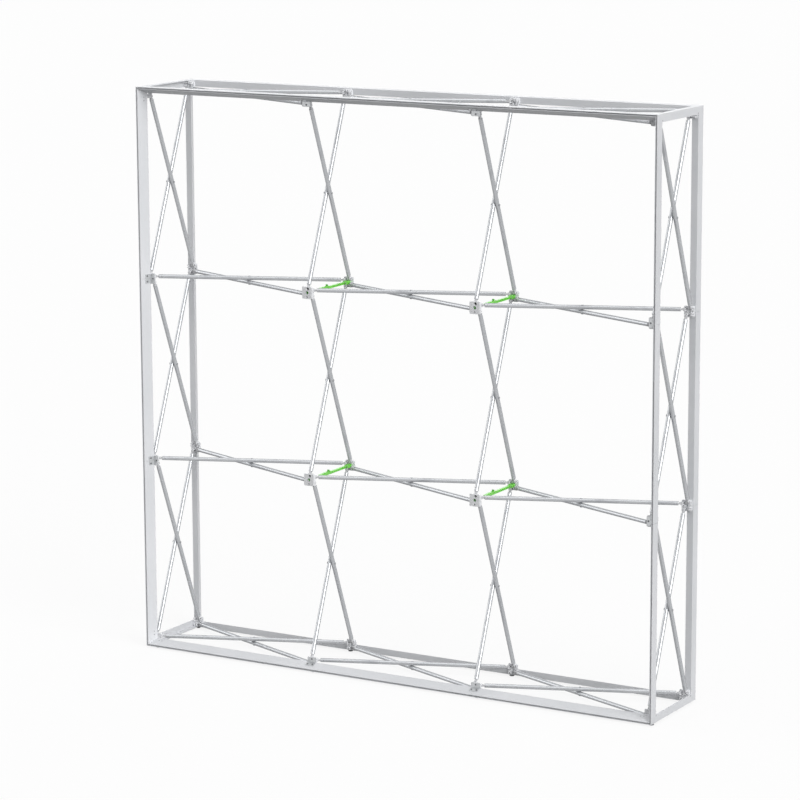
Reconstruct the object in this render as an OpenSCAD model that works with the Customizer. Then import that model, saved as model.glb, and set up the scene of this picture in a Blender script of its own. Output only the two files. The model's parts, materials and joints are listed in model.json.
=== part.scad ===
// Pop-up fabric display frame: a grid of bays, with scissor pairs of tubes between
// front and back hubs, grooved rails round both faces and locking arms in the middle.
// X runs across the display, Y from its front to its back, Z up. The origin is on the
// floor, under the middle of the frame. The front faces -Y.

/* [Frame] */
// Outer width of the frame
frame_w = 2250; // [1500:10:3000]
// Outer height of the rails, without the feet
frame_h = 2250; // [1500:10:3000]
// Depth from the front face to the back face
frame_d = 385; // [340:5:440]
// Bays across and bays up
bays = 3; // [2:1:3]
// Distance from the outer faces to the centre of the outermost hubs
hub_inset = 25; // [24.5:0.5:27]

/* [Rails] */
// Depth of a rail, front to back
rail_d = 41; // [38:0.5:46]
// Width of a rail at its grooved lip
lip_w = 8; // [7.5:0.5:10]
// Width of a rail at its far side
base_w = 26; // [23:0.5:28]
// Width of the groove that takes the fabric's edging
groove_w = 3.2; // [2.8:0.1:3.8]
// Depth of the groove
groove_d = 14; // [10:0.5:16]
// Thickness of the flange outside the groove
flange_t = 2.4; // [1.8:0.1:2.8]
// Thickness of a rail's walls
rail_wall = 1.6; // [1.2:0.1:2]
// Gap between two lengths of rail that meet end to end
joint_gap = 0.6; // [0.2:0.1:1.5]
// Clearance round the joining keys inside the rails
key_gap = 0.4; // [0.2:0.1:0.6]
// Length of a joining key on each side of its joint
key_l = 55; // [35:1:80]
// Width of a corner bar's level leg
corner_w = 22; // [16:1:30]
// Height of a corner bar's upright leg
corner_h = 30; // [29:1:40]

/* [Rail brackets] */
// Thickness of a bracket
bracket_t = 1.6; // [1.2:0.1:2]
// Width of a bracket along its rail
bracket_w = 36; // [32:1:42]
// Length of a bracket down the sloping face of its rail
bracket_leg = 23; // [20:0.5:26]
// Distance from a bracket's middle to each of its rail screws
bracket_screw_x = 11; // [8:0.5:13]
// Radius of a bracket screw
screw_r = 2; // [1.5:0.1:2.4]
// Radius of a bracket screw's head
screw_head_r = 3.6; // [3:0.1:4.4]
// Height of a bracket screw's head
screw_head_t = 1.8; // [1.2:0.1:2.4]
// Length of a bracket screw under its head
screw_l = 7; // [5:0.5:8]
// Clearance of a screw in its hole
screw_gap = 0.15; // [0.1:0.05:0.3]
// Radius of a corner bar's screw
corner_screw_r = 1.2; // [1:0.05:1.4]
// Length of a corner bar's screw
corner_screw_l = 9; // [7:0.5:9]

/* [Hubs] */
// Side of a hub's square plate
hub_size = 42; // [40:0.5:43]
// Thickness of a hub's plate
plate_t = 5; // [4.5:0.5:6]
// Radius of the plate's corners
hub_corner_r = 6; // [2:0.5:7]
// Distance from a hub's centre to each pivot pin
pin_x = 15; // [14.5:0.5:17]
// Distance from the plate's inner face to the pivot pins
pin_y = 7.5; // [7:0.5:10]
// Radius of the rounded end of a hub's ears
ear_r = 6; // [5:0.5:6.5]
// Thickness of an ear
ear_t = 3; // [2.5:0.1:3.2]
// Clearance between an ear and a tube's end plug
ear_gap = 0.25; // [0.15:0.05:0.4]
// Radius of a pivot pin
pin_r = 2.4; // [2:0.1:2.8]
// Clearance of a pivot pin in its holes
pin_gap = 0.05; // [0.02:0.01:0.1]
// Radius of the hole in the middle of a hub
hub_bore_r = 6; // [5.5:0.1:6.2]
// Distance from a hub's centre to its screw holes
hub_hole_x = 13; // [12.5:0.1:13.5]
// Depth of the moulded pockets in a hub's plate
pocket_d = 1.8; // [0.8:0.1:2]

/* [Scissor tubes] */
// Outer diameter of a tube
tube_d = 16; // [14:0.5:16]
// Wall of a tube
tube_wall = 1.2; // [0.8:0.1:2]
// Gap between two crossing tubes
tube_gap = 1; // [0.6:0.1:1.6]
// Thickness of an end plug's flat tongue
tongue_t = 6; // [5:0.1:6.5]
// Half width of the tongue, and radius of its end
tongue_r = 6; // [5:0.5:6.5]
// Distance from a pivot pin to the plug's collar
collar_x = 14; // [13:0.5:20]
// Thickness of the collar
collar_t = 2; // [1:0.5:4]
// Length of the plug inside the tube
spigot_l = 24; // [15:1:35]
// Clearance between plug and tube
spigot_gap = 0.05; // [0.02:0.01:0.2]
// Radius of a centre rivet
rivet_r = 2; // [1.5:0.1:2.5]
// Radius of a centre rivet's heads and collar
rivet_head_r = 4.5; // [3.5:0.1:5]
// Height of a centre rivet's heads
rivet_head_t = 1.5; // [1:0.1:2]

/* [Locking arms] */
// Side of the square fixing blocks on the hubs
block_w = 13; // [12.6:0.2:14]
// Distance from the back hub's outer face to the arm's hinge
hinge_s = 38; // [34:0.5:44]
// Radius of the arm's hinge pin
hinge_r = 2; // [1.6:0.1:2.4]
// Radius of the fixing's ears round the hinge
hinge_ear_r = 5.5; // [4.8:0.1:5.8]
// Width of the arm's root between the ears
root_w = 5.4; // [4.6:0.2:6]
// Width of the arm
arm_w = 10; // [9.4:0.2:11]
// Height of the arm
arm_h = 9; // [8:0.2:9.6]
// Height of the arm's head above its axis
head_z = 7; // [6.6:0.1:7.4]
// Free length of the catch between the arm's nose and the front hub's outer face
nose_gap = 67; // [50:1:80]
// Width of the catch bar
bar_w = 4.4; // [3.8:0.1:4.8]
// Height of the catch bar
bar_h = 6; // [5.6:0.1:6.2]
// Length of the front hub's fixing block
front_block_l = 20; // [17:0.5:26]
// Radius of the hollow in the front end of the front fixing
hollow_r = 4.2; // [3.5:0.1:4.6]
// Clearance between pieces that slide past each other
slide_gap = 0.3; // [0.2:0.05:0.4]
// Length of the arm's sloping nose
nose_l = 36; // [30:1:42]
// Distance from the nose back to the middle of the arm's tooth
tooth_back = 11; // [9:0.5:14]
// Length of the tooth along the arm
tooth_l = 3.4; // [2.8:0.1:4]
// Height of the tooth
tooth_h = 2.5; // [2:0.1:2.8]
// Length of the catch bar past the middle of the tooth
bar_past = 9; // [7:0.5:11]
// Distance from the end of the catch bar back to the latch's pivots
latch_back = 12; // [11:0.5:15]
// Distance from the latch's pivots back to the start of the arm's head
head_back = 8; // [7:0.5:10]
// Height of the latch's pivots above the arm's axis
latch_z = 1.5; // [1.2:0.1:1.8]
// Radius of the latch's side pivots
trunnion_r = 1.4; // [1.1:0.1:1.6]
// Radius of the latch's round root
disc_r = 3.2; // [3:0.1:3.4]
// Length of the latch's finger from its pivots
finger_l = 15.6; // [14:0.1:17]
// Thickness of the latch's finger
finger_t = 2; // [1.6:0.1:2.2]
// Half length of the latch's riser along the arm
riser_l = 3; // [2.4:0.1:3.4]
// Height of the latch's thumb pad above the arm's head
pad_lift = 1.8; // [1.5:0.1:2.4]
// Width of the latch's thumb pad
pad_w = 8; // [6:0.5:10]
// Length of the latch's thumb pad along the arm
pad_l = 8; // [7:0.5:9]
// Thickness of the latch's thumb pad
pad_t = 2.2; // [1.8:0.1:3]

/* [Feet] */
// Height of a foot, from the floor to the rail
foot_h = 8; // [6:0.5:20]
// Radius of a foot's pad
foot_r = 9; // [7:0.5:14]
// Thickness of a foot's pad
foot_pad_t = 4; // [2:0.5:5]
// Radius of a foot's neck
foot_neck_r = 5; // [3:0.5:6]
// Distance from the face of the frame to the middle of a foot
foot_y = 28; // [20:0.5:30]
// Distance from the middle of a hub sideways to the middle of a foot
foot_x = 14; // [0:1:15]

/* [Hidden] */
$fn = 48;
eps = 0.01;
over = 1;

pitch_x = (frame_w - 2 * hub_inset) / bays;
pitch_z = (frame_h - 2 * hub_inset) / bays;
function col_x(i) = -frame_w / 2 + hub_inset + i * pitch_x;
function row_z(j) = foot_h + hub_inset + j * pitch_z;

// Rail section: u runs inwards from the outer face, v back from the grooved face
rail_slope = (base_w - lip_w) / rail_d;
slope_len = sqrt(1 + rail_slope * rail_slope);
function slope_u(v) = lip_w + rail_slope * v;
chamber_v0 = groove_d + rail_wall;
chamber_v1 = rail_d - rail_wall;
function chamber_u(v) = slope_u(v) - rail_wall * slope_len;
key_v0 = chamber_v0 + key_gap;
key_v1 = chamber_v1 - key_gap;
key_u0 = rail_wall + key_gap;
key_u1 = chamber_u(key_v0) - key_gap;
corner_t = hub_inset - hub_size / 2;
corner_head_r = plate_t / 2 - slide_gap;
corner_head_t = corner_head_r - corner_screw_r;
corner_screw_y = frame_d / 2 - rail_d - plate_t / 2;
bracket_v0 = rail_d - bracket_leg;
bracket_screw_v = bracket_v0 + bracket_leg * 0.35;
bracket_end_u = hub_inset + hub_size / 2 - 1;

// Hub and scissor
pivot_y = rail_d + plate_t + pin_y;
reach_y = frame_d - 2 * pivot_y;
tube_offset = (tube_d + tube_gap) / 2;
ear_z = tongue_t / 2 + ear_gap;
pin_head_r = pin_r + 1.2;
pin_head_t = 1;
pin_half = ear_z + ear_t;
tube_start = collar_x + collar_t;
function tube_span(pitch) = sqrt(pow(pitch - 2 * pin_x, 2) + pow(reach_y, 2));
function tube_tilt(pitch) = atan2(reach_y, pitch - 2 * pin_x);

// Locking arm: s runs from the back hub's outer face towards the front hub
inner_d = frame_d - 2 * rail_d;
tip_s = inner_d - nose_gap;
nose_s = tip_s - nose_l;
tooth_s = nose_s - tooth_back;
bar_end_s = tooth_s - bar_past;
latch_s = bar_end_s - latch_back;
head_s = latch_s - head_back;
body_s = hinge_s + hinge_ear_r + 2;
channel_s = bar_end_s - 2 * slide_gap;
channel_w = bar_w + 2 * slide_gap;
roof_z = bar_h / 2 + slide_gap;
finger_z = bar_h / 2 + 1.5 * slide_gap;
pad_z = head_z + pad_lift;
roll_r = pad_t * 1.1;
block_fit = 0.1;
notch_gap = 4 * block_fit;
socket_s = inner_d - plate_t - 2 * over;

groove_names = ["bottom", "top", "left", "right"];
corner_names = ["bottom_left", "bottom_right", "top_left", "top_right"];
locks = [for (j = [1 : bays - 1], i = [1 : bays - 1]) [i, j]];

// Puts its children on the front face, or turned round on the back face
module on_face(face) {
    if (face == "front") translate([0, -frame_d / 2, 0]) children();
    else translate([0, frame_d / 2, 0]) rotate([0, 0, 180]) children();
}

// Extrudes a shape drawn in Y and Z along X
module along_x(length, center = false) {
    rotate([90, 0, 90]) linear_extrude(length, center = center) children();
}

// Hubs

module rounded_square(size, r) {
    union() {
        square([size, size - 2 * r], center = true);
        square([size - 2 * r, size], center = true);
        for (x = [-1, 1], y = [-1, 1])
            translate([x, y] * (size / 2 - r)) circle(r);
    }
}

// Two ears beside the hub's middle, with a pin hole along Z
module clevis() {
    for (side = [-1, 1])
        translate([0, 0, tube_offset + side * (ear_z + ear_t / 2)])
            difference() {
                union() {
                    translate([pin_x, pivot_y, 0])
                        cylinder(r = ear_r, h = ear_t, center = true);
                    translate([pin_x - ear_r, pivot_y - pin_y - eps, -ear_t / 2])
                        cube([2 * ear_r, pin_y, ear_t]);
                }
                translate([pin_x, pivot_y, 0])
                    cylinder(r = pin_r + pin_gap, h = ear_t + over, center = true);
            }
}

module hub_pocket() {
    outer = hub_size / 2 - 5.5;
    translate([0, rail_d + pocket_d, 0])
        rotate([90, 0, 0])
            linear_extrude(pocket_d + over)
                polygon([[9, -5], [outer, -10], [outer, 10], [9, 5]]);
}

// One hub, with the frame's face at y = 0
module hub() {
    difference() {
        union() {
            translate([0, rail_d + plate_t, 0])
                rotate([90, 0, 0])
                    linear_extrude(plate_t) rounded_square(hub_size, hub_corner_r);
            for (turn = [0 : 90 : 270]) rotate([0, turn, 0]) clevis();
        }
        for (turn = [0 : 90 : 270])
            rotate([0, turn, 0]) {
                hub_pocket();
                translate([hub_hole_x, rail_d + plate_t / 2, 0])
                    rotate([90, 0, 0])
                        cylinder(r = screw_r + screw_gap, h = plate_t + over, center = true);
            }
        translate([0, rail_d + plate_t / 2, 0])
            rotate([90, 0, 0]) cylinder(r = hub_bore_r, h = plate_t + over, center = true);
        for (side = [-1, 1])
            translate([side * hub_size / 2, rail_d + plate_t / 2, 0])
                rotate([0, 90, 0])
                    cylinder(r = corner_screw_r, h = 2 * (corner_screw_l - corner_t), center = true);
    }
}

module hub_row(face, j) {
    color("gainsboro")
        for (i = [0 : bays])
            translate([col_x(i), 0, row_z(j)]) on_face(face) hub();
}

// Scissor pairs

// Puts its children at the start of both tubes of a pair, with X along the tube
module on_tubes(pitch) {
    for (side = [1, -1])
        translate([pin_x, -side * reach_y / 2, side * tube_offset])
            rotate([0, 0, side * tube_tilt(pitch)]) children();
}

// Puts its children at both ends of every tube, with X away from the pin
module on_tube_ends(pitch) {
    on_tubes(pitch) {
        children();
        translate([tube_span(pitch), 0, 0]) mirror([1, 0, 0]) children();
    }
}

module scissor(pitch) {
    length = tube_span(pitch) - 2 * tube_start;
    color("silver")
        on_tubes(pitch)
            difference() {
                translate([tube_start, 0, 0]) rotate([0, 90, 0]) cylinder(d = tube_d, h = length);
                translate([tube_start - over, 0, 0])
                    rotate([0, 90, 0]) cylinder(d = tube_d - 2 * tube_wall, h = length + 2 * over);
                translate([tube_span(pitch) / 2, 0, 0])
                    cylinder(r = rivet_r + pin_gap, h = tube_d + over, center = true);
            }
}

module end_plug() {
    difference() {
        union() {
            cylinder(r = tongue_r, h = tongue_t, center = true);
            translate([0, -tongue_r, -tongue_t / 2]) cube([collar_x + eps, 2 * tongue_r, tongue_t]);
            translate([collar_x, 0, 0]) rotate([0, 90, 0]) cylinder(d = tube_d, h = collar_t);
            translate([collar_x, 0, 0])
                rotate([0, 90, 0])
                    cylinder(r = tube_d / 2 - tube_wall - spigot_gap, h = collar_t + spigot_l);
        }
        cylinder(r = pin_r + pin_gap, h = tongue_t + over, center = true);
    }
}

module pivot_pin() {
    cylinder(r = pin_r, h = 2 * pin_half + pin_head_t, center = true);
    for (side = [-1, 1])
        translate([0, 0, side * (pin_half + pin_head_t / 2)])
            cylinder(r = pin_head_r, h = pin_head_t, center = true);
}

module centre_rivet() {
    height = tube_offset + tube_d / 2;
    cylinder(r = rivet_r, h = 2 * height + rivet_head_t, center = true);
    cylinder(r = rivet_head_r, h = tube_gap, center = true);
    for (side = [-1, 1])
        translate([0, 0, side * (height + rivet_head_t / 2)])
            cylinder(r = rivet_head_r, h = rivet_head_t, center = true);
}

// Level pair j, i: from hub column i to the next, at hub row j
module in_row(j, i) {
    translate([col_x(i), 0, row_z(j)]) children();
}

// Upright pair i, j: from hub row j to the next, at hub column i
module in_column(i, j) {
    translate([col_x(i), 0, row_z(j + 1)]) rotate([0, 90, 0]) children();
}

module tube_end_plugs() {
    color("lightgray") {
        for (j = [0 : bays], i = [0 : bays - 1]) in_row(j, i) on_tube_ends(pitch_x) end_plug();
        for (i = [0 : bays], j = [0 : bays - 1]) in_column(i, j) on_tube_ends(pitch_z) end_plug();
    }
}

module scissor_rivets(pitch) {
    on_tube_ends(pitch) pivot_pin();
    translate([pitch / 2, 0, 0]) centre_rivet();
}

module pivot_rivets() {
    color("dimgray") {
        for (j = [0 : bays], i = [0 : bays - 1]) in_row(j, i) scissor_rivets(pitch_x);
        for (i = [0 : bays], j = [0 : bays - 1]) in_column(i, j) scissor_rivets(pitch_z);
        for (lock = locks) on_lock(lock) hinge_pin();
    }
}

// Rails

// Puts a rail drawn along X, with u up and v along Y, on one side of one face
module on_side(face, side) {
    mirror([0, face == "front" ? 0 : 1, 0])
        translate([side == "right" ? frame_w / 2 : -frame_w / 2, -frame_d / 2,
                   side == "top" ? foot_h + frame_h : foot_h])
            mirror([side == "right" ? 1 : 0, 0, 0])
                mirror([0, 0, side == "top" ? 1 : 0])
                    mirror(side == "left" || side == "right" ? [1, 0, -1] : [0, 0, 0])
                        children();
}

function is_level(side) = side == "bottom" || side == "top";
function side_length(side) = is_level(side) ? frame_w : frame_h;
function side_pitch(side) = is_level(side) ? pitch_x : pitch_z;
function joint_x(side, k) = hub_inset + k * side_pitch(side);

module rail_section() {
    difference() {
        polygon([[0, 0], [0, lip_w], [rail_d, base_w], [rail_d, 0]]);
        translate([-over, flange_t]) square([groove_d + over, groove_w]);
        polygon([[chamber_v0, rail_wall], [chamber_v0, chamber_u(chamber_v0)],
                 [chamber_v1, chamber_u(chamber_v1)], [chamber_v1, rail_wall]]);
    }
}

// Cuts the corner at x = 0 to 45 degrees
module mitre() {
    far = base_w + over;
    translate([0, rail_d / 2, 0])
        rotate([90, 0, 0])
            linear_extrude(rail_d + 2 * over, center = true)
                polygon([[-over, -over], [far, far], [-over, far]]);
}

// Puts its children on the sloping face at v, with Z pointing away from the rail
module on_slope(v) {
    translate([0, v, slope_u(v)]) rotate([atan(rail_slope), 0, 0]) children();
}

// Puts its children at each rail screw of the brackets on one side
module on_rail_screws(side) {
    for (k = [1 : bays - 1], x = [-1, 1])
        translate([joint_x(side, k) + x * bracket_screw_x, 0, 0]) on_slope(bracket_screw_v) children();
}

module rail(face, side) {
    color("silver")
        on_side(face, side)
            difference() {
                for (k = [0 : bays - 1]) {
                    start = k == 0 ? 0 : joint_x(side, k) + joint_gap / 2;
                    end = k == bays - 1 ? side_length(side) : joint_x(side, k + 1) - joint_gap / 2;
                    translate([start, 0, 0]) along_x(end - start) rail_section();
                }
                mitre();
                translate([side_length(side), 0, 0]) mirror([1, 0, 0]) mitre();
                on_rail_screws(side)
                    cylinder(r = screw_r + screw_gap, h = 3 * rail_wall, center = true);
            }
}

module key_section() {
    translate([key_v0, key_u0]) square([key_v1 - key_v0, key_u1 - key_u0]);
}

module rail_keys() {
    color("darkgray")
        for (face = ["front", "back"], side = groove_names)
            on_side(face, side) {
                for (k = [1 : bays - 1])
                    translate([joint_x(side, k) - key_l, 0, 0]) along_x(2 * key_l) key_section();
                if (is_level(side))
                    for (end = [0, 1])
                        translate([end * frame_w, 0, 0])
                            mirror([end, 0, 0]) {
                                translate([key_u0, 0, 0]) along_x(key_l) key_section();
                                mirror([1, 0, -1])
                                    translate([key_u0, 0, 0]) along_x(key_l) key_section();
                            }
            }
}

module bracket() {
    difference() {
        along_x(bracket_w, center = true)
            polygon([
                [bracket_v0, slope_u(bracket_v0)],
                [rail_d, base_w],
                [rail_d, bracket_end_u],
                [rail_d - bracket_t, bracket_end_u],
                [rail_d - bracket_t, slope_u(rail_d - bracket_t) + bracket_t * slope_len],
                [bracket_v0 - bracket_t * rail_slope / slope_len,
                 slope_u(bracket_v0) + bracket_t / slope_len]
            ]);
        for (x = [-1, 1])
            translate([x * bracket_screw_x, 0, 0])
                on_slope(bracket_screw_v)
                    cylinder(r = screw_r + screw_gap, h = 4 * bracket_t, center = true);
        translate([0, rail_d, hub_inset + hub_hole_x])
            rotate([90, 0, 0]) cylinder(r = screw_r + screw_gap, h = 4 * bracket_t, center = true);
    }
}

module rail_brackets() {
    color("lightgray")
        for (face = ["front", "back"], side = groove_names, k = [1 : bays - 1])
            on_side(face, side) translate([joint_x(side, k), 0, 0]) bracket();
}

// A round-headed screw, with its head standing on z = 0 and its shank below
module bracket_screw() {
    translate([0, 0, -screw_l]) cylinder(r = screw_r, h = screw_l + eps);
    cylinder(r1 = screw_head_r, r2 = screw_head_r * 0.75, h = screw_head_t);
}

// A countersunk screw, with its head flush with z = 0 and its shank below
module corner_screw() {
    translate([0, 0, -corner_screw_l]) cylinder(r = corner_screw_r, h = corner_screw_l);
    translate([0, 0, -corner_head_t])
        cylinder(r1 = corner_screw_r, r2 = corner_head_r, h = corner_head_t);
}

module frame_screws() {
    color("dimgray") {
        for (face = ["front", "back"], side = groove_names)
            on_side(face, side) {
                on_rail_screws(side) translate([0, 0, bracket_t]) bracket_screw();
                for (k = [1 : bays - 1])
                    translate([joint_x(side, k), rail_d - bracket_t, hub_inset + hub_hole_x])
                        rotate([90, 0, 0]) bracket_screw();
            }
        for (corner = corner_names) on_corner(corner) on_corner_screws() corner_screw();
    }
}

// Corner bars

// Puts a bar drawn at the lower left corner in one of the four corners
module on_corner(corner) {
    right = corner == "bottom_right" || corner == "top_right";
    top = corner == "top_left" || corner == "top_right";
    translate([right ? frame_w / 2 : -frame_w / 2, 0, top ? foot_h + frame_h : foot_h])
        mirror([right ? 1 : 0, 0, 0])
            mirror([0, 0, top ? 1 : 0]) children();
}

module on_corner_screws() {
    for (side = [-1, 1])
        translate([0, side * corner_screw_y, hub_inset]) rotate([0, -90, 0]) children();
}

module corner_bar(corner) {
    color("silver")
        on_corner(corner)
            difference() {
                rotate([90, 0, 0])
                    linear_extrude(inner_d, center = true)
                        polygon([[0, 0], [corner_w, 0], [corner_w, corner_t],
                                 [corner_t, corner_t], [corner_t, corner_h], [0, corner_h]]);
                on_corner_screws() {
                    translate([0, 0, -corner_t - over])
                        cylinder(r = corner_screw_r + screw_gap, h = corner_t + 2 * over);
                    translate([0, 0, -corner_head_t])
                        cylinder(r1 = corner_screw_r, r2 = corner_head_r, h = corner_head_t);
                }
            }
}

// Locking arms

// Puts its children at a lock, with Y running from the back hub to the front hub
module on_lock(lock) {
    translate([col_x(lock[0]), frame_d / 2 - rail_d, row_z(lock[1])])
        mirror([0, 1, 0]) children();
}

// A cylinder along X through the point s, z
module cross_cylinder(s, z, r, length) {
    translate([0, s, z]) rotate([0, 90, 0]) cylinder(r = r, h = length, center = true);
}

// A block from s0 to s1 and z0 to z1, centred across X
module span_block(width, s0, s1, z0, z1) {
    translate([-width / 2, s0, z0]) cube([width, s1 - s0, z1 - z0]);
}

module hub_boss(s0, s1) {
    translate([0, s0, 0])
        rotate([-90, 0, 0]) cylinder(r = hub_bore_r - block_fit, h = s1 - s0);
}

module back_fixing() {
    difference() {
        union() {
            hub_boss(0.5, plate_t + over);
            span_block(block_w, plate_t, hinge_s, -block_w / 2, block_w / 2);
            cross_cylinder(hinge_s, 0, hinge_ear_r, block_w);
        }
        span_block(root_w + 2 * slide_gap, hinge_s - hinge_ear_r, hinge_s + 2 * block_w,
                   -block_w, block_w);
        for (side = [-1, 1])
            translate([0, 0, side * (hinge_ear_r + block_w / 2)])
                span_block(block_w + over, hinge_s - hinge_ear_r, hinge_s + over,
                           -block_w / 2, block_w / 2);
        cross_cylinder(hinge_s, 0, hinge_r + pin_gap, block_w + over);
    }
}

module front_fixing() {
    difference() {
        union() {
            hub_boss(inner_d - plate_t - over, inner_d - 0.5);
            span_block(block_w, inner_d - front_block_l, inner_d - plate_t, -block_w / 2, block_w / 2);
        }
        span_block(bar_w + 2 * block_fit, inner_d - front_block_l - over, socket_s,
                   -bar_h / 2 - block_fit, bar_h / 2 + block_fit);
        translate([0, inner_d - plate_t, 0]) rotate([-90, 0, 0]) cylinder(r = hollow_r, h = plate_t);
    }
}

module lock_fixings() {
    color("yellowgreen")
        for (lock = locks)
            on_lock(lock) {
                back_fixing();
                front_fixing();
            }
}

module hinge_pin() {
    cross_cylinder(hinge_s, 0, hinge_r, block_w + 1);
    for (side = [-1, 1])
        translate([side * (block_w / 2 + 0.4), 0, 0])
            cross_cylinder(hinge_s, 0, hinge_r + 1, 0.8);
}

module lock_arm(lock) {
    color("yellowgreen")
        on_lock(lock)
            difference() {
                union() {
                    cross_cylinder(hinge_s, 0, arm_h / 2, root_w);
                    span_block(root_w, hinge_s, body_s + over, -arm_h / 2, arm_h / 2);
                    along_x(arm_w, center = true)
                        polygon([
                            [body_s, -arm_h / 2], [nose_s, -arm_h / 2 - 1],
                            [tip_s, -bar_h / 2 + 0.4], [tip_s, roof_z + 1.3],
                            [nose_s, head_z], [head_s, head_z],
                            [head_s - 10, arm_h / 2], [body_s, arm_h / 2]
                        ]);
                }
                cross_cylinder(hinge_s, 0, hinge_r + pin_gap, root_w + over);
                for (side = [-1, 1])
                    translate([side * arm_w / 2, 0, 0])
                        span_block(3, body_s + 6, head_s - 12, -arm_h / 4, arm_h / 4);
                span_block(channel_w, channel_s, tip_s + over, -head_z, roof_z - tooth_h);
                span_block(channel_w, channel_s, tooth_s - tooth_l / 2, -head_z, roof_z);
                span_block(channel_w, tooth_s + tooth_l / 2, tip_s + over, -head_z, roof_z);
                span_block(channel_w, latch_s - 2 * riser_l, latch_s + finger_l + slide_gap,
                           latch_z - disc_r - 2 * slide_gap, head_z + over);
                cross_cylinder(latch_s, latch_z, trunnion_r + pin_gap, arm_w + over);
            }
}

module lock_latch(lock) {
    color("olivedrab")
        on_lock(lock) {
            cross_cylinder(latch_s, latch_z, trunnion_r, arm_w - 2 * block_fit);
            cross_cylinder(latch_s, latch_z, disc_r, bar_w);
            span_block(bar_w, latch_s, latch_s + finger_l, finger_z, finger_z + finger_t);
            span_block(bar_w, latch_s - riser_l, latch_s + riser_l, latch_z, pad_z + over);
            span_block(pad_w, latch_s - pad_l / 2, latch_s + pad_l / 2, pad_z, pad_z + pad_t);
            cross_cylinder(latch_s, pad_z + pad_t * 0.8, roll_r, pad_w);
        }
}

module lock_catches() {
    color("whitesmoke")
        for (lock = locks)
            on_lock(lock)
                difference() {
                    span_block(bar_w, bar_end_s, socket_s - notch_gap, -bar_h / 2, bar_h / 2);
                    span_block(bar_w + over, tooth_s - tooth_l / 2 - notch_gap,
                               tooth_s + tooth_l / 2 + notch_gap,
                               bar_h / 2 - tooth_h - block_fit, bar_h / 2 + over);
                }
}

// Feet

module feet() {
    color("darkgray")
        for (face = ["front", "back"], i = [0 : bays])
            on_face(face)
                translate([col_x(i) + foot_x, foot_y, 0]) {
                    cylinder(r1 = foot_r - 1, r2 = foot_r, h = 1);
                    translate([0, 0, 1]) cylinder(r = foot_r, h = foot_pad_t - 1);
                    cylinder(r = foot_neck_r, h = foot_h);
                }
}

for (j = [0 : bays]) {
    hub_row("front", j);
    hub_row("back", j);
}
for (j = [0 : bays], i = [0 : bays - 1])
    in_row(j, i) scissor(pitch_x);
for (i = [0 : bays], j = [0 : bays - 1])
    in_column(i, j) scissor(pitch_z);
for (name = groove_names) {
    rail("front", name);
    rail("back", name);
}
for (name = corner_names)
    corner_bar(name);
for (n = [1 : len(locks)]) {
    lock_arm(locks[n - 1]);
    lock_latch(locks[n - 1]);
}
lock_fixings();
lock_catches();
tube_end_plugs();
pivot_rivets();
rail_keys();
rail_brackets();
frame_screws();
feet();
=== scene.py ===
"""Looks, small moulded and pressed details, light and camera for the pop-up display frame.

Metres, in the frame's own axes: X across the display, Y from front to back, Z up.
"""

import json
import math

import bpy
from mathutils import Matrix, Vector


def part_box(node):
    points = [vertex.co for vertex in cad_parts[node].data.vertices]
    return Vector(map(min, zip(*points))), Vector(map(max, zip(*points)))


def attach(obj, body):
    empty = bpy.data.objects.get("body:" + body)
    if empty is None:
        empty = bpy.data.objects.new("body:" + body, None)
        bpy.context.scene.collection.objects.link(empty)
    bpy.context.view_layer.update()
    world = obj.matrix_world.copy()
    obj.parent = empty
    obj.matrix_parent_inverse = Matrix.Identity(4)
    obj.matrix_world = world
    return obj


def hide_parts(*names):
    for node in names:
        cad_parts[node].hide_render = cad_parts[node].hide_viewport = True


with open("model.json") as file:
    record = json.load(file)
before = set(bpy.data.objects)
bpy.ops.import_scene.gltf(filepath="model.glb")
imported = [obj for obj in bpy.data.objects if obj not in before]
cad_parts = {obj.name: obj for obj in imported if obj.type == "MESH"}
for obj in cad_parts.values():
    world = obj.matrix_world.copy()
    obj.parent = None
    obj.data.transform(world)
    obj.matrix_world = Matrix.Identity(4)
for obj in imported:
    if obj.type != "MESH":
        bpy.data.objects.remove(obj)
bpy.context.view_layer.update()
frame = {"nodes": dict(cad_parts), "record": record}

NODES = frame["nodes"]
SLOT_OF = {part["node"]: part["material_slot"] for part in frame["record"]["subparts"]}

MM = 0.001
X, Y, Z = Vector((1, 0, 0)), Vector((0, 1, 0)), Vector((0, 0, 1))

# Sizes of the frame, in metres
HUB_SIZE = 42 * MM
HUB_GAP = 4 * MM
RAIL_D = 41 * MM
LIP_W = 8 * MM
BASE_W = 26 * MM
PLATE_T = 5 * MM
PIN_X = 15 * MM
PIN_BACK = 53.5 * MM
TUBE_D = 16 * MM
TUBE_OFFSET = 8.5 * MM
TUBE_START = 16 * MM
SCREW_HOLE = 13 * MM
POCKET_D = 1.8 * MM
EAR_OUTSIDE = 14.75 * MM
BRACKET_T = 1.6 * MM
BRACKET_SCREW_X = 11 * MM
BRACKET_SCREW_BACK = 26.05 * MM
BRACKET_SCREW_IN = 38 * MM
SET_SCREWS_ALONG = (42 * MM, 56 * MM)
SET_SCREW_BACK = 27 * MM
PLUG_RIVET_IN = 12 * MM
FOOT_R = 9 * MM
FOOT_X = 14 * MM
FOOT_BACK = 28 * MM
LATCH_BACK = 16.5 * MM
PAD_ROLL_R = 2.42 * MM
PAD_ROLL_Z = 10.56 * MM

# Measured on the frame itself
LOW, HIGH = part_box("front_rail_bottom")[0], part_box("back_rail_top")[1]
HUBS_LOW, HUBS_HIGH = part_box("front_hubs_row_1")[0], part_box("front_hubs_row_4")[1]
BAYS = 3


def spread(low, high):
    """The centres of four hubs whose outer edges are at low and high."""
    first, last = low + HUB_SIZE / 2, high - HUB_SIZE / 2
    return [first + (last - first) * i / BAYS for i in range(BAYS + 1)]


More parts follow.
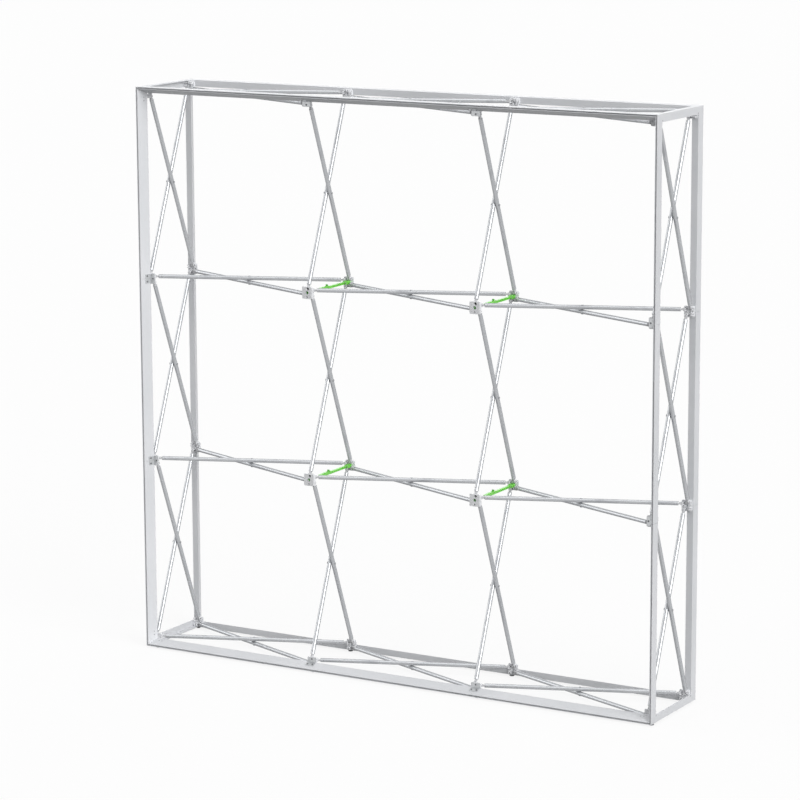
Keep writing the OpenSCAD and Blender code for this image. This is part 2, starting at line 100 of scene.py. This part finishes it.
COLUMNS = spread(HUBS_LOW.x, HUBS_HIGH.x)
ROWS = spread(HUBS_LOW.z, HUBS_HIGH.z)
PITCH = COLUMNS[1] - COLUMNS[0]
LOCKS = [(i, j) for j in range(1, BAYS) for i in range(1, BAYS)]
FACES = {"front": LOW.y, "back": HIGH.y}
SIDES = ("bottom", "top", "left", "right")


# Materials


def srgb(red, green, blue):
    """A linear colour from red, green and blue as they look on a screen, 0 to 255."""
    return tuple((c / 255) ** 2.2 for c in (red, green, blue)) + (1.0,)


class Shader:
    """A Principled material under construction, with the few node steps that the finishes share."""

    def __init__(self, name, colour, metallic=0.0, specular=0.5, coat=0.0):
        self.material = bpy.data.materials.new(name)
        self.material.use_nodes = True
        self.nodes = self.material.node_tree.nodes
        self.links = self.material.node_tree.links
        self.shader = self.nodes["Principled BSDF"]
        self.shader.inputs["Base Color"].default_value = colour
        self.shader.inputs["Metallic"].default_value = metallic
        self.shader.inputs["Specular IOR Level"].default_value = specular
        self.shader.inputs["Coat Weight"].default_value = coat
        self.colour = None
        self.place = self.nodes.new("ShaderNodeTexCoord").outputs["Object"]

    def noise(self, scale, stretch=(1, 1, 1), detail=3.0):
        """Noise with that many cells in a metre, stretched where a factor is below 1."""
        mapping = self.nodes.new("ShaderNodeMapping")
        mapping.inputs["Scale"].default_value = stretch
        self.links.new(self.place, mapping.inputs["Vector"])
        texture = self.nodes.new("ShaderNodeTexNoise")
        texture.inputs["Scale"].default_value = scale
        texture.inputs["Detail"].default_value = detail
        self.links.new(mapping.outputs["Vector"], texture.inputs["Vector"])
        return texture.outputs["Fac"]

    def between(self, value, low, high, start=0.3, end=0.7):
        """Value from start to end, turned into low to high."""
        node = self.nodes.new("ShaderNodeMapRange")
        limits = {"From Min": start, "From Max": end, "To Min": low, "To Max": high}
        for name, number in limits.items():
            node.inputs[name].default_value = number
        self.links.new(value, node.inputs["Value"])
        return node.outputs["Result"]

    def tint(self, value, colour, other):
        """Mixes in other where value is 1. The first call starts from colour, later ones go on."""
        node = self.nodes.new("ShaderNodeMix")
        node.data_type = "RGBA"
        self.links.new(value, node.inputs["Factor"])
        if self.colour is None:
            node.inputs[6].default_value = colour
        else:
            self.links.new(self.colour, node.inputs[6])
        node.inputs[7].default_value = other
        self.colour = node.outputs[2]
        self.links.new(self.colour, self.shader.inputs["Base Color"])

    def roughness(self, value, low, high):
        self.links.new(self.between(value, low, high), self.shader.inputs["Roughness"])

    def worn_edge(self, radius, colour, base, amount):
        """Brightens or darkens the edges, where the rounded and the flat normal part."""
        bevel = self.nodes.new("ShaderNodeBevel")
        bevel.samples = 4
        bevel.inputs["Radius"].default_value = radius
        flat = self.nodes.new("ShaderNodeNewGeometry")
        dot = self.nodes.new("ShaderNodeVectorMath")
        dot.operation = "DOT_PRODUCT"
        self.links.new(bevel.outputs["Normal"], dot.inputs[0])
        self.links.new(flat.outputs["Normal"], dot.inputs[1])
        self.tint(self.between(dot.outputs["Value"], amount, 0.0, 0.75, 0.98), base, colour)
        return bevel.outputs["Normal"]

    def bump(self, value, depth, normal=None):
        node = self.nodes.new("ShaderNodeBump")
        node.inputs["Strength"].default_value = 1.0
        node.inputs["Distance"].default_value = depth
        self.links.new(value, node.inputs["Height"])
        if normal is not None:
            self.links.new(normal, node.inputs["Normal"])
        self.links.new(node.outputs["Normal"], self.shader.inputs["Normal"])


def extruded(name, along, colour, dull):
    """Satin anodised aluminium with fine die lines along the piece."""
    m = Shader(name, colour, metallic=0.12, specular=0.45)
    lines = m.noise(900, [0.004 if axis == along else 1 for axis in "XYZ"], detail=2)
    clouds = m.noise(3.5, detail=4)
    m.tint(m.between(clouds, 0.0, 1.0, 0.25, 0.75), colour, dull)
    edge = m.worn_edge(0.6 * MM, srgb(236, 237, 239), colour, 0.55)
    m.roughness(lines, 0.48, 0.62)
    m.bump(lines, 0.015 * MM, edge)
    return m.material


def drawn_tube(name, along):
    """Bright drawn tube: faint draw lines, and a few dull handling marks."""
    colour = srgb(187, 189, 192)
    m = Shader(name, colour, metallic=0.62)
    m.shader.inputs["Specular Tint"].default_value = (0.15, 0.15, 0.16, 1)
    lines = m.noise(700, [0.006 if axis == along else 1 for axis in "XYZ"], detail=2)
    marks = m.noise(26, [0.35 if axis == along else 1 for axis in "XYZ"], detail=5)
    m.tint(m.between(marks, 0.0, 1.0, 0.56, 0.74), colour, srgb(168, 170, 174))
    m.roughness(marks, 0.22, 0.32)
    m.bump(lines, 0.01 * MM)
    return m.material


def moulded(name, colour, shade, edge_colour,
            grain=1400, depth=0.03 * MM, rough=(0.42, 0.56), coat=0.0):
    """Moulded nylon: fine grain, slight flow marks and rubbed edges."""
    m = Shader(name, colour, specular=0.45, coat=coat)
    flow = m.noise(38, detail=5)
    texture = m.noise(grain, detail=2)
    m.tint(m.between(flow, 0.0, 1.0, 0.3, 0.7), colour, shade)
    edge = m.worn_edge(0.5 * MM, edge_colour, colour, 0.6)
    m.roughness(flow, *rough)
    m.bump(texture, depth, edge)
    return m.material


def plated_steel(name, colour, dull, rough=(0.25, 0.42)):
    """Plated steel, slightly blotched."""
    m = Shader(name, colour, metallic=0.95)
    blotches = m.noise(160, detail=6)
    m.tint(m.between(blotches, 0.0, 1.0, 0.35, 0.7), colour, dull)
    edge = m.worn_edge(0.3 * MM, srgb(232, 232, 232), colour, 0.5)
    m.roughness(blotches, *rough)
    m.bump(m.noise(1800, detail=2), 0.008 * MM, edge)
    return m.material


RAIL_GREY, RAIL_DULL = srgb(219, 220, 223), srgb(208, 210, 213)
RAIL = {axis: extruded("rail_aluminium_" + axis, axis, RAIL_GREY, RAIL_DULL) for axis in "XYZ"}
TUBE = {axis: drawn_tube("tube_aluminium_" + axis, axis) for axis in "XZ"}
SLOT_MATERIALS = {
    "hub_plastic": moulded("hub_plastic", srgb(238, 239, 241), srgb(226, 227, 230),
                           srgb(246, 246, 247)),
    "plug_plastic": moulded("plug_plastic", srgb(206, 207, 209), srgb(194, 195, 198),
                            srgb(226, 226, 228)),
    "green_plastic": moulded("green_plastic", srgb(126, 222, 84), srgb(106, 202, 68),
                             srgb(164, 236, 126), grain=1100, rough=(0.34, 0.46), coat=0.15),
    "latch_plastic": moulded("latch_plastic", srgb(96, 190, 62), srgb(80, 170, 50),
                             srgb(138, 214, 104), grain=1100, rough=(0.34, 0.46), coat=0.15),
    "catch_plastic": moulded("catch_plastic", srgb(228, 229, 230), srgb(216, 217, 219),
                             srgb(240, 240, 241)),
    "foot_plastic": moulded("foot_plastic", srgb(168, 169, 172), srgb(148, 149, 152),
                            srgb(196, 196, 198), grain=700, depth=0.06 * MM, rough=(0.55, 0.72)),
    "rivet_steel": plated_steel("rivet_steel", srgb(168, 169, 172), srgb(140, 141, 144)),
    "key_aluminium": plated_steel("key_aluminium", srgb(196, 197, 199), srgb(178, 179, 181)),
    "bracket_steel": plated_steel("bracket_steel", srgb(198, 200, 202), srgb(178, 180, 182)),
    "screw_steel": plated_steel("screw_steel", srgb(122, 123, 126), srgb(98, 99, 102),
                                rough=(0.3, 0.5)),
}
# Near-black steel for the screw in each catch cover's upper hole. Its dark colour is painted shade that
# stands in for the shade inside that hole, on top of the real shadow from its depth.
HOLE_SHADE_BLACK_STEEL = plated_steel("screw_steel_painted_hole_shade", srgb(62, 66, 64), srgb(50, 53, 51),
                           rough=(0.4, 0.55))


def material_of(node):
    """The finish of a CAD node, with die and draw lines along its own run."""
    slot = SLOT_OF[node]
    if slot == "tube_aluminium":
        return TUBE["X" if node.startswith("row") else "Z"]
    if slot == "rail_aluminium":
        if node.startswith("corner_bar"):
            return RAIL["Y"]
        return RAIL["X" if node.endswith(("bottom", "top")) else "Z"]
    return SLOT_MATERIALS[slot]


for node, obj in NODES.items():
    obj.data.materials.clear()
    obj.data.materials.append(material_of(node))


# Shapes: lists of points and faces, placed by matrices and joined into one piece


def revolve(profile, steps=24):
    """A closed solid of revolution about Z, from (radius, height) pairs whose ends lie on the axis."""
    points, rings = [], []
    for radius, height in profile:
        if radius == 0:
            rings.append([len(points)] * steps)
            points.append(Vector((0, 0, height)))
        else:
            rings.append(list(range(len(points), len(points) + steps)))
            points += [Vector((radius * math.cos(a), radius * math.sin(a), height))
                       for a in (2 * math.pi * k / steps for k in range(steps))]
    faces = []
    for low, high in zip(rings, rings[1:]):
        for k in range(steps):
            n = (k + 1) % steps
            corners = list(dict.fromkeys([low[k], low[n], high[n], high[k]]))
            if len(corners) > 2:
                faces.append(corners)
    return points, faces


def washer(inner, outer, height, round_off, steps=24):
    """A ring about Z that stands on z = 0, with its top edges rounded off."""
    profile = [(inner, 0), (outer, 0), (outer, height - round_off), (outer - round_off, height),
               (inner + round_off, height), (inner, height - round_off)]
    points = [Vector((r * math.cos(a), r * math.sin(a), h))
              for a in (2 * math.pi * k / steps for k in range(steps)) for r, h in profile]
    size, faces = len(profile), []
    for k in range(steps):
        here, there = k * size, (k + 1) % steps * size
        for i in range(size):
            n = (i + 1) % size
            faces.append([here + i, there + i, there + n, here + n])
    return points, faces


def prism(outline, low, high):
    """An outline in X and Y, anticlockwise, raised from low to high along Z."""
    count = len(outline)
    points = [Vector((x, y, low)) for x, y in outline] + [Vector((x, y, high)) for x, y in outline]
    faces = [list(range(count))[::-1], list(range(count, 2 * count))]
    faces += [[i, (i + 1) % count, count + (i + 1) % count, count + i] for i in range(count)]
    return points, faces


def block(size, edge):
    """A box centred on the origin with all its long edges cut off."""
    a, b, c = (s / 2 for s in size)
    outline = [(-a + edge, -b), (a - edge, -b), (a, -b + edge), (a, b - edge),
               (a - edge, b), (-a + edge, b), (-a, b - edge), (-a, -b + edge)]
    return prism(outline, -c, c)


def joined(name, placed, material, body="frame", sharp=35):
    """One piece from (shape, matrix) pairs, smooth except where its faces turn sharply."""
    points, faces = [], []
    for (shape_points, shape_faces), matrix in placed:
        start = len(points)
        flip = matrix.to_3x3().determinant() < 0
        points += [matrix @ p for p in shape_points]
        faces += [[start + i for i in (face[::-1] if flip else face)] for face in shape_faces]
    mesh = bpy.data.meshes.new(name)
    mesh.from_pydata(points, [], faces)
    mesh.materials.append(material)
    mesh.shade_smooth()
    mesh.set_sharp_from_angle(angle=math.radians(sharp))
    obj = bpy.data.objects.new(name, mesh)
    bpy.context.scene.collection.objects.link(obj)
    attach(obj, body)
    return obj


def carved(shape, cutter):
    """A shape with a cutter taken out of it, as points and faces."""
    objects = []
    for points, faces in (shape, cutter):
        mesh = bpy.data.meshes.new("carving")
        mesh.from_pydata(points, [], faces)
        objects.append(bpy.data.objects.new("carving", mesh))
        bpy.context.scene.collection.objects.link(objects[-1])
    cut = objects[0].modifiers.new("cut", "BOOLEAN")
    cut.operation, cut.solver, cut.object = "DIFFERENCE", "EXACT", objects[1]
    result = objects[0].evaluated_get(bpy.context.evaluated_depsgraph_get()).to_mesh()
    made = [v.co.copy() for v in result.vertices], [list(p.vertices) for p in result.polygons]
    for obj in objects:
        bpy.data.objects.remove(obj)
    return made


def axes(x, y, z, origin):
    """The matrix that puts a shape's own axes along x, y and z at the origin given."""
    return Matrix.Translation(origin) @ Matrix((x, y, z)).transposed().to_4x4()


def turned(degrees, axis):
    return Matrix.Rotation(math.radians(degrees), 4, axis)


# Places


def hub_place(face, i, j):
    """Axes at a hub's middle on its face: X across, Y up and Z out of the frame, on either face."""
    out = -Y if face == "front" else Y
    return axes(Z.cross(out), Z, out, Vector((COLUMNS[i], FACES[face] - out.y * RAIL_D, ROWS[j])))


def every_hub(face):
    return [hub_place(face, i, j) for j in range(BAYS + 1) for i in range(BAYS + 1)]


def side_place(face, side):
    """Axes of one side's rail: X along it, Y back from its grooved face, Z inwards."""
    back = Y if face == "front" else -Y
    x = HIGH.x if side == "right" else LOW.x
    start = Vector((x, FACES[face], HIGH.z if side == "top" else LOW.z))
    if side in ("bottom", "top"):
        return axes(X, back, Z if side == "bottom" else -Z, start)
    return axes(Z, back, X if side == "left" else -X, start)


def every_side():
    return [side_place(face, side) for face in FACES for side in SIDES]


def on_slope(along, back):
    """On a rail's sloping face, a distance along it and back from its grooved face, Z pointing away."""
    tilt = math.atan2(BASE_W - LIP_W, RAIL_D)
    height = LIP_W + (BASE_W - LIP_W) * back / RAIL_D
    return Matrix.Translation((along, back, height)) @ Matrix.Rotation(tilt, 4, "X")


def every_tube():
    """Axes of each scissor tube: X along it from its first pin, Z across the pair."""
    reach = FACES["back"] - FACES["front"] - 2 * PIN_BACK
    tilt = math.atan2(reach, PITCH - 2 * PIN_X)
    pairs = [Matrix.Translation((COLUMNS[i], 0, ROWS[j]))
             for j in range(BAYS + 1) for i in range(BAYS)]
    pairs += [Matrix.Translation((COLUMNS[i], 0, ROWS[j + 1])) @ turned(90, "Y")
              for i in range(BAYS + 1) for j in range(BAYS)]
    return [pair @ Matrix.Translation((PIN_X, -side * reach / 2, side * TUBE_OFFSET))
            @ Matrix.Rotation(side * tilt, 4, "Z") for pair in pairs for side in (1, -1)]


TUBE_SPAN = math.hypot(PITCH - 2 * PIN_X, FACES["back"] - FACES["front"] - 2 * PIN_BACK)


# Screws with cross recesses and slots, in place of the plain ones


def cross_head(radius, height, shank_r, shank_l):
    """A round-headed screw, its head standing on z = 0, with a cross recess."""
    dome = [(radius * math.cos(a), height * (0.35 + 0.65 * math.sin(a)))
            for a in (math.radians(90 * k / 6) for k in range(6))]
    shank = [(0, -shank_l), (shank_r * 0.7, -shank_l), (shank_r, -shank_l + 0.8 * MM), (shank_r, 0)]
    solid = revolve(shank + [(radius, 0)] + dome + [(0, height)], 32)
    arm, width = radius * 0.62, radius * 0.17
    cross = [(-arm, -width), (-width, -width), (-width, -arm), (width, -arm),
             (width, -width), (arm, -width), (arm, width), (width, width),
             (width, arm), (-width, arm), (-width, width), (-arm, width)]
    return carved(solid, prism(cross, height * 0.3, height * 2))


def slotted_head(radius, head_l, shank_r, length):
    """A countersunk screw with a slot, its flat head on z = 0."""
    tip, slot_w, slot_d = 0.7 * MM, 0.5 * MM, 0.6 * MM
    solid = revolve([(0, -length), (shank_r - 0.4 * MM, -length), (shank_r, -length + tip),
                     (shank_r, -head_l), (radius, 0), (0, 0)], 32)
    a, b = radius - 0.7 * MM, slot_w / 2
    return carved(solid, prism([(-a, -b), (a, -b), (a, b), (-a, b)], -slot_d, MM))


def frame_screws():
    pan = cross_head(3.6 * MM, 1.8 * MM, 2 * MM, 7 * MM)
    flat = slotted_head(2.2 * MM, MM, 1.2 * MM, 9 * MM)
    over_bracket = Matrix.Translation((0, 0, BRACKET_T))
    placed = []
    for side in every_side():
        for k in range(1, BAYS):
            along = HUB_SIZE / 2 + HUB_GAP + k * PITCH
            placed += [(pan, side @ on_slope(along + x, BRACKET_SCREW_BACK) @ over_bracket)
                       for x in (-BRACKET_SCREW_X, BRACKET_SCREW_X)]
            behind = Matrix.Translation((along, RAIL_D - BRACKET_T, BRACKET_SCREW_IN))
            placed.append((pan, side @ behind @ turned(90, "X")))
    plate_back = RAIL_D + PLATE_T / 2
    for out, x in ((-X, LOW.x), (X, HIGH.x)):
        for z in (ROWS[0], ROWS[-1]):
            placed += [(flat, axes(Y, out.cross(Y), out, Vector((x, y, z))))
                       for y in (FACES["front"] + plate_back, FACES["back"] - plate_back)]
    piece = joined("frame_screws_cross_head", placed, SLOT_MATERIALS["screw_steel"])
    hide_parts("frame_screws")


# Hub details: bosses, ribs, gussets and a rim that the plain hubs don't have


def hub_details(face):
    boss = washer(2.25 * MM, 3.7 * MM, POCKET_D - 0.05 * MM, 0.25 * MM)
    rim = washer(6.05 * MM, 7.4 * MM, 0.7 * MM, 0.3 * MM, 32)
    rib = block((1.1 * MM, 4.2 * MM, 2 * (POCKET_D - 0.2 * MM)), 0.2 * MM)
    rib_x, rib_y = SCREW_HOLE + 0.3 * MM, 5.6 * MM
    gusset = prism([(0, 0), (4.5 * MM, 0), (0, 5 * MM)], -0.8 * MM, 0.8 * MM)
    beside_ear = axes(Y, -Z, -X, Vector((PIN_X, EAR_OUTSIDE, -PLATE_T)))
    placed = []
    for hub in every_hub(face):
        placed.append((rim, hub))
        for turn in (0, 90, 180, 270):
            arm = hub @ turned(turn, "Z")
            placed.append((boss, arm @ Matrix.Translation((SCREW_HOLE, 0, -POCKET_D))))
            placed += [(rib, arm @ Matrix.Translation((rib_x, y, -POCKET_D))) for y in (-rib_y, rib_y)]
            placed.append((gusset, arm @ beside_ear))
    joined(face + "_hub_details", placed, SLOT_MATERIALS["hub_plastic"])


# Tube details: the rivets that hold the end plugs, seen on both sides of each tube


def tube_rivets():
    head = revolve([(0, -0.6 * MM), (2.4 * MM, -0.6 * MM), (2.4 * MM, 0.25 * MM),
                    (2.1 * MM, 0.6 * MM), (1.3 * MM, 0.85 * MM), (0, 0.95 * MM)], 20)
    inset = TUBE_START + PLUG_RIVET_IN
    on_wall = Matrix.Translation((0, 0, TUBE_D / 2 - 0.15 * MM))
    placed = [(head, tube @ Matrix.Translation((x, 0, 0)) @ turned(turn, "X") @ on_wall)
              for tube in every_tube() for x in (inset, TUBE_SPAN - inset) for turn in (90, -90)]
    joined("tube_plug_rivets", placed, SLOT_MATERIALS["rivet_steel"])


# Rail details: the set screws that hold the corner keys


def corner_set_screws():
    socket_r = 0.95 * MM
    socket = [(socket_r * math.cos(math.radians(a)), socket_r * math.sin(math.radians(a)))
              for a in range(0, 360, 60)]
    body = revolve([(0, -1.2 * MM), (2 * MM, -1.2 * MM), (2 * MM, 0.1 * MM), (1.7 * MM, 0.3 * MM),
                    (0, 0.3 * MM)], 24)
    screw = carved(body, prism(socket, -0.7 * MM, MM))
    span = HIGH.x - LOW.x
    placed = [(screw, side @ on_slope(along, SET_SCREW_BACK)) for side in every_side()
              for near in SET_SCREWS_ALONG for along in (near, span - near)]
    joined("corner_key_set_screws", placed, SLOT_MATERIALS["screw_steel"])


# Lock details: a cover on each inner front hub, grip ridges on the thumb pad, ribs in the arm's sides


def rounded(a, b, corner):
    """The outline of a rectangle from -a to a and -b to b with round corners, in X and Y."""
    up, down = range(0, 91, 15), range(90, -1, -15)
    return [(side_x * (a - corner + corner * math.cos(t)), side_y * (b - corner + corner * math.sin(t)))
            for side_x, side_y, turns in ((1, 1, up), (-1, 1, down), (-1, -1, up), (1, -1, down))
            for t in (math.radians(k) for k in turns)]


def catch_cover(column, row):
    """A moulded cover on a hub's face, with holes over a green pin and a screw, and one below."""
    width, height, depth, wall, corner = 43 * MM, 47 * MM, 11 * MM, 2.5 * MM, 3 * MM
    middle, above, below = (0, 0), (3.6 * MM, 15.5 * MM), (0, -16.5 * MM)
    middle_r, above_r, below_r = 6.4 * MM, 5.6 * MM, 3.2 * MM
    sleeve_wall, sleeve_back = 1.2 * MM, 1.2 * MM
    shank_l, head_z, pin_l = depth - 6 * MM, depth - 6.5 * MM, depth - 8 * MM
    pin_r, pin_edge = middle_r - 0.2 * MM, 0.6 * MM

    def plate(inset, low, high):
        return prism(rounded(width / 2 - inset, height / 2 - inset, corner), low, high)

    shell = carved(plate(0, 0, depth), plate(wall, -wall, depth - wall))
    holes = ((middle, middle_r), (above, above_r), (below, below_r))
    for (x, y), radius in holes:
        bore = revolve([(0, -MM), (radius, -MM), (radius, depth * 2), (0, depth * 2)], 32)
        shell = carved(shell, ([p + Vector((x, y, 0)) for p in bore[0]], bore[1]))
    hub = hub_place("front", column, row)

    def at(place, height=0):
        return hub @ Matrix.Translation((*place, height))

    sleeves = [(washer(r, r + sleeve_wall, depth - sleeve_back, 0.1 * MM, 32), at(place))
               for place, r in holes]
    screw = cross_head(above_r - 0.3 * MM, 1.8 * MM, 2 * MM, shank_l)
    pin = revolve([(0, 0), (pin_r, 0), (pin_r, pin_l - pin_edge), (pin_r - pin_edge, pin_l),
                   (0, pin_l)], 32)
    suffix, hub_plastic = f"{column}_{row}", SLOT_MATERIALS["hub_plastic"]
    cover = joined("catch_cover_" + suffix, [(shell, hub)], hub_plastic)
    rounding = cover.modifiers.new("rounding", "BEVEL")
    rounding.width, rounding.segments, rounding.limit_method = 0.5 * MM, 2, "ANGLE"
    joined("catch_sleeves_" + suffix, sleeves, hub_plastic)
    # The upper screw is near-black as painted shade: its colour stands in for the shade inside the
    # upper hole.
    joined("catch_screw_painted_shade_" + suffix, [(screw, at(above, head_z))], HOLE_SHADE_BLACK_STEEL)
    joined("catch_pin_" + suffix, [(pin, at(middle))],
           SLOT_MATERIALS["latch_plastic"])


def lock_details(number, column, row):
    hinge_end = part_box(f"lock_arm_{number}")[1].y
    x, z = COLUMNS[column], ROWS[row]
    ridge = block((6.8 * MM, 0.55 * MM, 0.8 * MM), 0.12 * MM)
    roll = Matrix.Translation((x, -LATCH_BACK, z + PAD_ROLL_Z))
    ridges = [(ridge, roll @ turned(lean, "X") @ Matrix.Translation((0, 0, PAD_ROLL_R)))
              for lean in (-60, -30, 0, 30, 60)]
    joined(f"lock_latch_ridges_{number}", ridges, SLOT_MATERIALS["latch_plastic"],
           body=f"latch_{number}")
    rib = block((1.3 * MM, 1.4 * MM, 4.4 * MM), 0.2 * MM)
    start, end = hinge_end - 22 * MM, hinge_end - 110 * MM
    gaps, rib_x = 6, 4.1 * MM
    ribs = [(rib, Matrix.Translation((x + side, start + (end - start) * k / gaps, z)))
            for side in (-rib_x, rib_x) for k in range(gaps + 1)]
    joined(f"lock_arm_ribs_{number}", ribs, SLOT_MATERIALS["green_plastic"],
           body=f"arm_{number}")


# Feet: a ribbed rubber ring round each pad


def foot_rings():
    rib = block((0.8 * MM, 1.2 * MM, 2.4 * MM), 0.2 * MM)
    ribs, height = 20, 2.4 * MM
    outwards = Matrix.Translation((FOOT_R + 0.2 * MM, 0, 0))
    placed = []
    for column in COLUMNS:
        for x, y in ((column + FOOT_X, LOW.y + FOOT_BACK), (column - FOOT_X, HIGH.y - FOOT_BACK)):
            middle = Matrix.Translation((x, y, height))
            placed += [(rib, middle @ turned(360 * k / ribs, "Z") @ outwards) for k in range(ribs)]
    joined("foot_ribs", placed, SLOT_MATERIALS["foot_plastic"])


frame_screws()
for face in FACES:
    hub_details(face)
tube_rivets()
corner_set_screws()
for number, (column, row) in enumerate(LOCKS, 1):
    catch_cover(column, row)
    lock_details(number, column, row)
foot_rings()


# Floor, light and camera

FLOOR_RADIUS = 90.0
CAMERA = {"place": (6.071, -10.479, 3.448), "yaw": -30.293, "pitch": -11.023, "roll": 0.254,
          "lens": 144.55}


def light_path_is(nodes, links, *kinds):
    """1 for rays of these kinds and 0 for others."""
    path = nodes.new("ShaderNodeLightPath")
    value = path.outputs[kinds[0]]
    for kind in kinds[1:]:
        highest = nodes.new("ShaderNodeMath")
        highest.operation = "MAXIMUM"
        links.new(value, highest.inputs[0])
        links.new(path.outputs[kind], highest.inputs[1])
        value = highest.outputs[0]
    return value


def make_world(level):
    """White where the camera, gloss or glass sees it, and a plain grey level as light."""
    world = bpy.data.worlds.new("studio")
    world.use_nodes = True
    bpy.context.scene.world = world
    nodes, links = world.node_tree.nodes, world.node_tree.links
    light, white = nodes["Background"], nodes.new("ShaderNodeBackground")
    light.inputs["Color"].default_value = (1, 1, 1, 1)
    light.inputs["Strength"].default_value = level
    white.inputs["Color"].default_value = (1, 1, 1, 1)
    white.inputs["Strength"].default_value = 1.0
    mix = nodes.new("ShaderNodeMixShader")
    seen = light_path_is(nodes, links, "Is Camera Ray", "Is Glossy Ray", "Is Transmission Ray")
    links.new(seen, mix.inputs[0])
    links.new(light.outputs[0], mix.inputs[1])
    links.new(white.outputs[0], mix.inputs[2])
    links.new(mix.outputs[0], nodes["World Output"].inputs["Surface"])


def make_floor(colour, share):
    """A wide floor. The camera sees that share of it as plain white, and the rest keeps the shadow."""
    steps = 96
    points = [(FLOOR_RADIUS * math.cos(a), FLOOR_RADIUS * math.sin(a), 0)
              for a in (2 * math.pi * k / steps for k in range(steps))]
    mesh = bpy.data.meshes.new("floor")
    mesh.from_pydata(points, [], [list(range(steps))])
    floor = bpy.data.objects.new("floor", mesh)
    bpy.context.scene.collection.objects.link(floor)
    material = bpy.data.materials.new("floor")
    material.use_nodes = True
    nodes, links = material.node_tree.nodes, material.node_tree.links
    nodes.remove(nodes["Principled BSDF"])
    seen = light_path_is(nodes, links, "Is Camera Ray", "Is Glossy Ray", "Is Transmission Ray")
    tone = nodes.new("ShaderNodeMix")
    tone.data_type = "RGBA"
    tone.inputs[6].default_value = colour
    tone.inputs[7].default_value = (0.95, 0.95, 0.95, 1)
    links.new(seen, tone.inputs["Factor"])
    plain, white = nodes.new("ShaderNodeBsdfDiffuse"), nodes.new("ShaderNodeEmission")
    links.new(tone.outputs[2], plain.inputs["Color"])
    white.inputs["Strength"].default_value = 1.0
    amount = nodes.new("ShaderNodeMath")
    amount.operation = "MULTIPLY"
    amount.inputs[1].default_value = share
    links.new(seen, amount.inputs[0])
    mix = nodes.new("ShaderNodeMixShader")
    links.new(amount.outputs[0], mix.inputs[0])
    links.new(plain.outputs[0], mix.inputs[1])
    links.new(white.outputs[0], mix.inputs[2])
    links.new(mix.outputs[0], nodes["Material Output"].inputs["Surface"])
    mesh.materials.append(material)


def soft_light(name, source, level, spread_degrees):
    """A wide distant lamp in the direction of source. At level 1 it lights a facing surface fully."""
    lamp = bpy.data.lights.new(name, "SUN")
    lamp.energy, lamp.angle = level * math.pi, math.radians(spread_degrees)
    obj = bpy.data.objects.new(name, lamp)
    obj.rotation_euler = (-Vector(source)).to_track_quat("-Z", "Y").to_euler()
    bpy.context.scene.collection.objects.link(obj)


def make_camera(place, yaw, pitch, roll, lens):
    """Yaw turns from +Y towards +X, pitch is up, and roll is clockwise, in degrees."""
    yaw, pitch, roll = (math.radians(a) for a in (yaw, pitch, roll))
    ahead = Vector((math.sin(yaw) * math.cos(pitch), math.cos(yaw) * math.cos(pitch), math.sin(pitch)))
    right = Vector((math.cos(yaw), -math.sin(yaw), 0))
    camera = bpy.data.cameras.new("camera")
    camera.lens, camera.sensor_width = lens, 36.0
    camera.clip_start, camera.clip_end = 0.5, 300
    obj = bpy.data.objects.new("camera", camera)
    level = axes(right, right.cross(ahead), -ahead, Vector(place))
    obj.matrix_world = level @ Matrix.Rotation(-roll, 4, "Z")
    bpy.context.scene.collection.objects.link(obj)
    bpy.context.scene.camera = obj


make_world(0.27)
make_floor((0.16, 0.16, 0.16, 1), 0.86)
soft_light("key", (0.86, -0.37, 0.37), 0.78, 40)
soft_light("top", (0.0, -0.3, 0.95), 0.22, 50)
soft_light("left", (-0.95, -0.2, 0.22), 0.3, 50)
soft_light("back", (-0.2, 0.95, 0.25), 0.35, 60)
make_camera(**CAMERA)
bpy.context.scene.view_settings.view_transform = "Standard"
